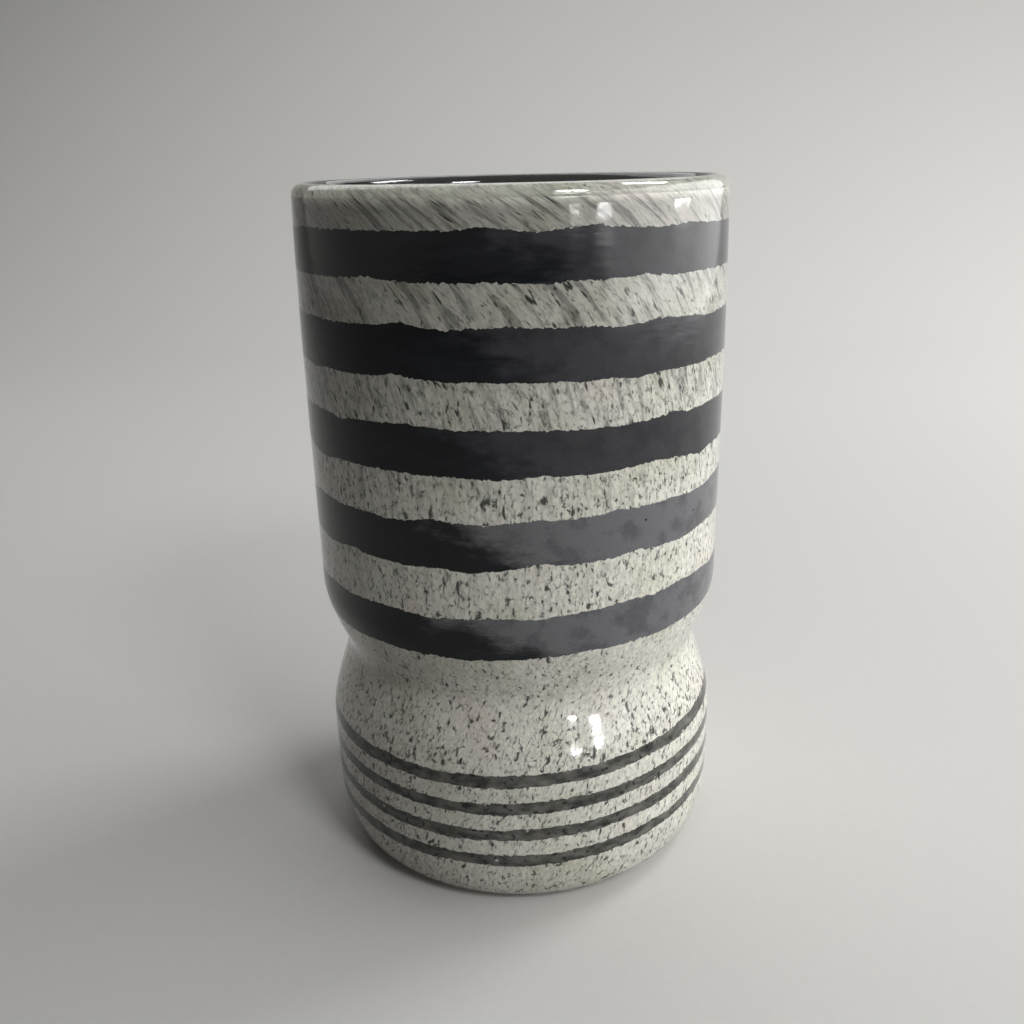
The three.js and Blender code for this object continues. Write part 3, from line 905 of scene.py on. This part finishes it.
class VASE_OT_speckled_layer(bpy.types.Operator):
    """Make the speckled outer layer with a groove for each trail"""
    bl_idname = "vase.speckled_layer"
    bl_label = "Speckled Layer"

    def execute(self, context):
        finished(speckled_layer(), "speckled_layer", speckled_glass())
        return {"FINISHED"}


class VASE_OT_dark_lining(bpy.types.Operator):
    """Make the dark lining"""
    bl_idname = "vase.dark_lining"
    bl_label = "Dark Lining"

    def execute(self, context):
        finished(dark_lining(), "dark_lining", lining_glass())
        return {"FINISHED"}


class VASE_OT_clear_lip(bpy.types.Operator):
    """Make the clear rounded lip"""
    bl_idname = "vase.clear_lip"
    bl_label = "Clear Lip"

    def execute(self, context):
        finished(clear_lip(), "clear_lip", clear_glass())
        return {"FINISHED"}


class VASE_OT_wide_bands(bpy.types.Operator):
    """Wind the five wide bands round the body"""
    bl_idname = "vase.wide_bands"
    bl_label = "Wide Bands"

    def execute(self, context):
        edges = trail_edges(outline_table())
        material = band_glass()
        for turn in range(len(BANDS)):
            first = len(edges) - 2 * (turn + 1)
            piece = trail_piece(f"band_{turn + 1}_glass", edges[first], edges[first + 1])
            finished(piece, f"wide_band_{turn + 1}", material)
        return {"FINISHED"}


class VASE_OT_fine_threads(bpy.types.Operator):
    """Wind the four fine threads round the foot bulb"""
    bl_idname = "vase.fine_threads"
    bl_label = "Fine Threads"

    def execute(self, context):
        edges = trail_edges(outline_table())
        material = thread_glass()
        for turn in range(len(THREADS)):
            first = 2 * (len(THREADS) - 1 - turn)
            piece = trail_piece(f"thread_{turn + 1}_glass", edges[first], edges[first + 1])
            finished(piece, f"fine_thread_{turn + 1}", material)
        return {"FINISHED"}


class VASE_OT_stage(bpy.types.Operator):
    """Set the floor, the lamps and the camera"""
    bl_idname = "vase.stage"
    bl_label = "Stage"

    def execute(self, context):
        paper_sweep()
        for settings in LAMPS:
            lamp(*settings)
        studio_air()
        view_camera()
        context.scene.view_settings.view_transform = "Standard"
        return {"FINISHED"}


class VASE_PT_pieces(bpy.types.Panel):
    """Lists the vase's pieces"""
    bl_label = "Blown Glass Vase"
    bl_space_type = "VIEW_3D"
    bl_region_type = "UI"
    bl_category = "Vase"

    def draw(self, context):
        for kind in OPERATORS:
            self.layout.operator(kind.bl_idname)


OPERATORS = (
    VASE_OT_speckled_layer,
    VASE_OT_dark_lining,
    VASE_OT_clear_lip,
    VASE_OT_wide_bands,
    VASE_OT_fine_threads,
    VASE_OT_stage,
)
GROUPS = (VaseOutline, VaseTrails, VaseColours)


def register():
    for kind in (*GROUPS, *OPERATORS, VASE_PT_pieces):
        bpy.utils.register_class(kind)
    bpy.types.Scene.vase_outline = PointerProperty(type=VaseOutline)
    bpy.types.Scene.vase_trails = PointerProperty(type=VaseTrails)
    bpy.types.Scene.vase_colours = PointerProperty(type=VaseColours)


def unregister():
    del bpy.types.Scene.vase_outline
    del bpy.types.Scene.vase_trails
    del bpy.types.Scene.vase_colours
    for kind in (VASE_PT_pieces, *reversed(OPERATORS), *reversed(GROUPS)):
        bpy.utils.unregister_class(kind)


def main():
    register()
    bpy.ops.vase.speckled_layer()
    bpy.ops.vase.dark_lining()
    bpy.ops.vase.clear_lip()
    bpy.ops.vase.wide_bands()
    bpy.ops.vase.fine_threads()
    bpy.ops.vase.stage()


if __name__ == "__main__":
    main()
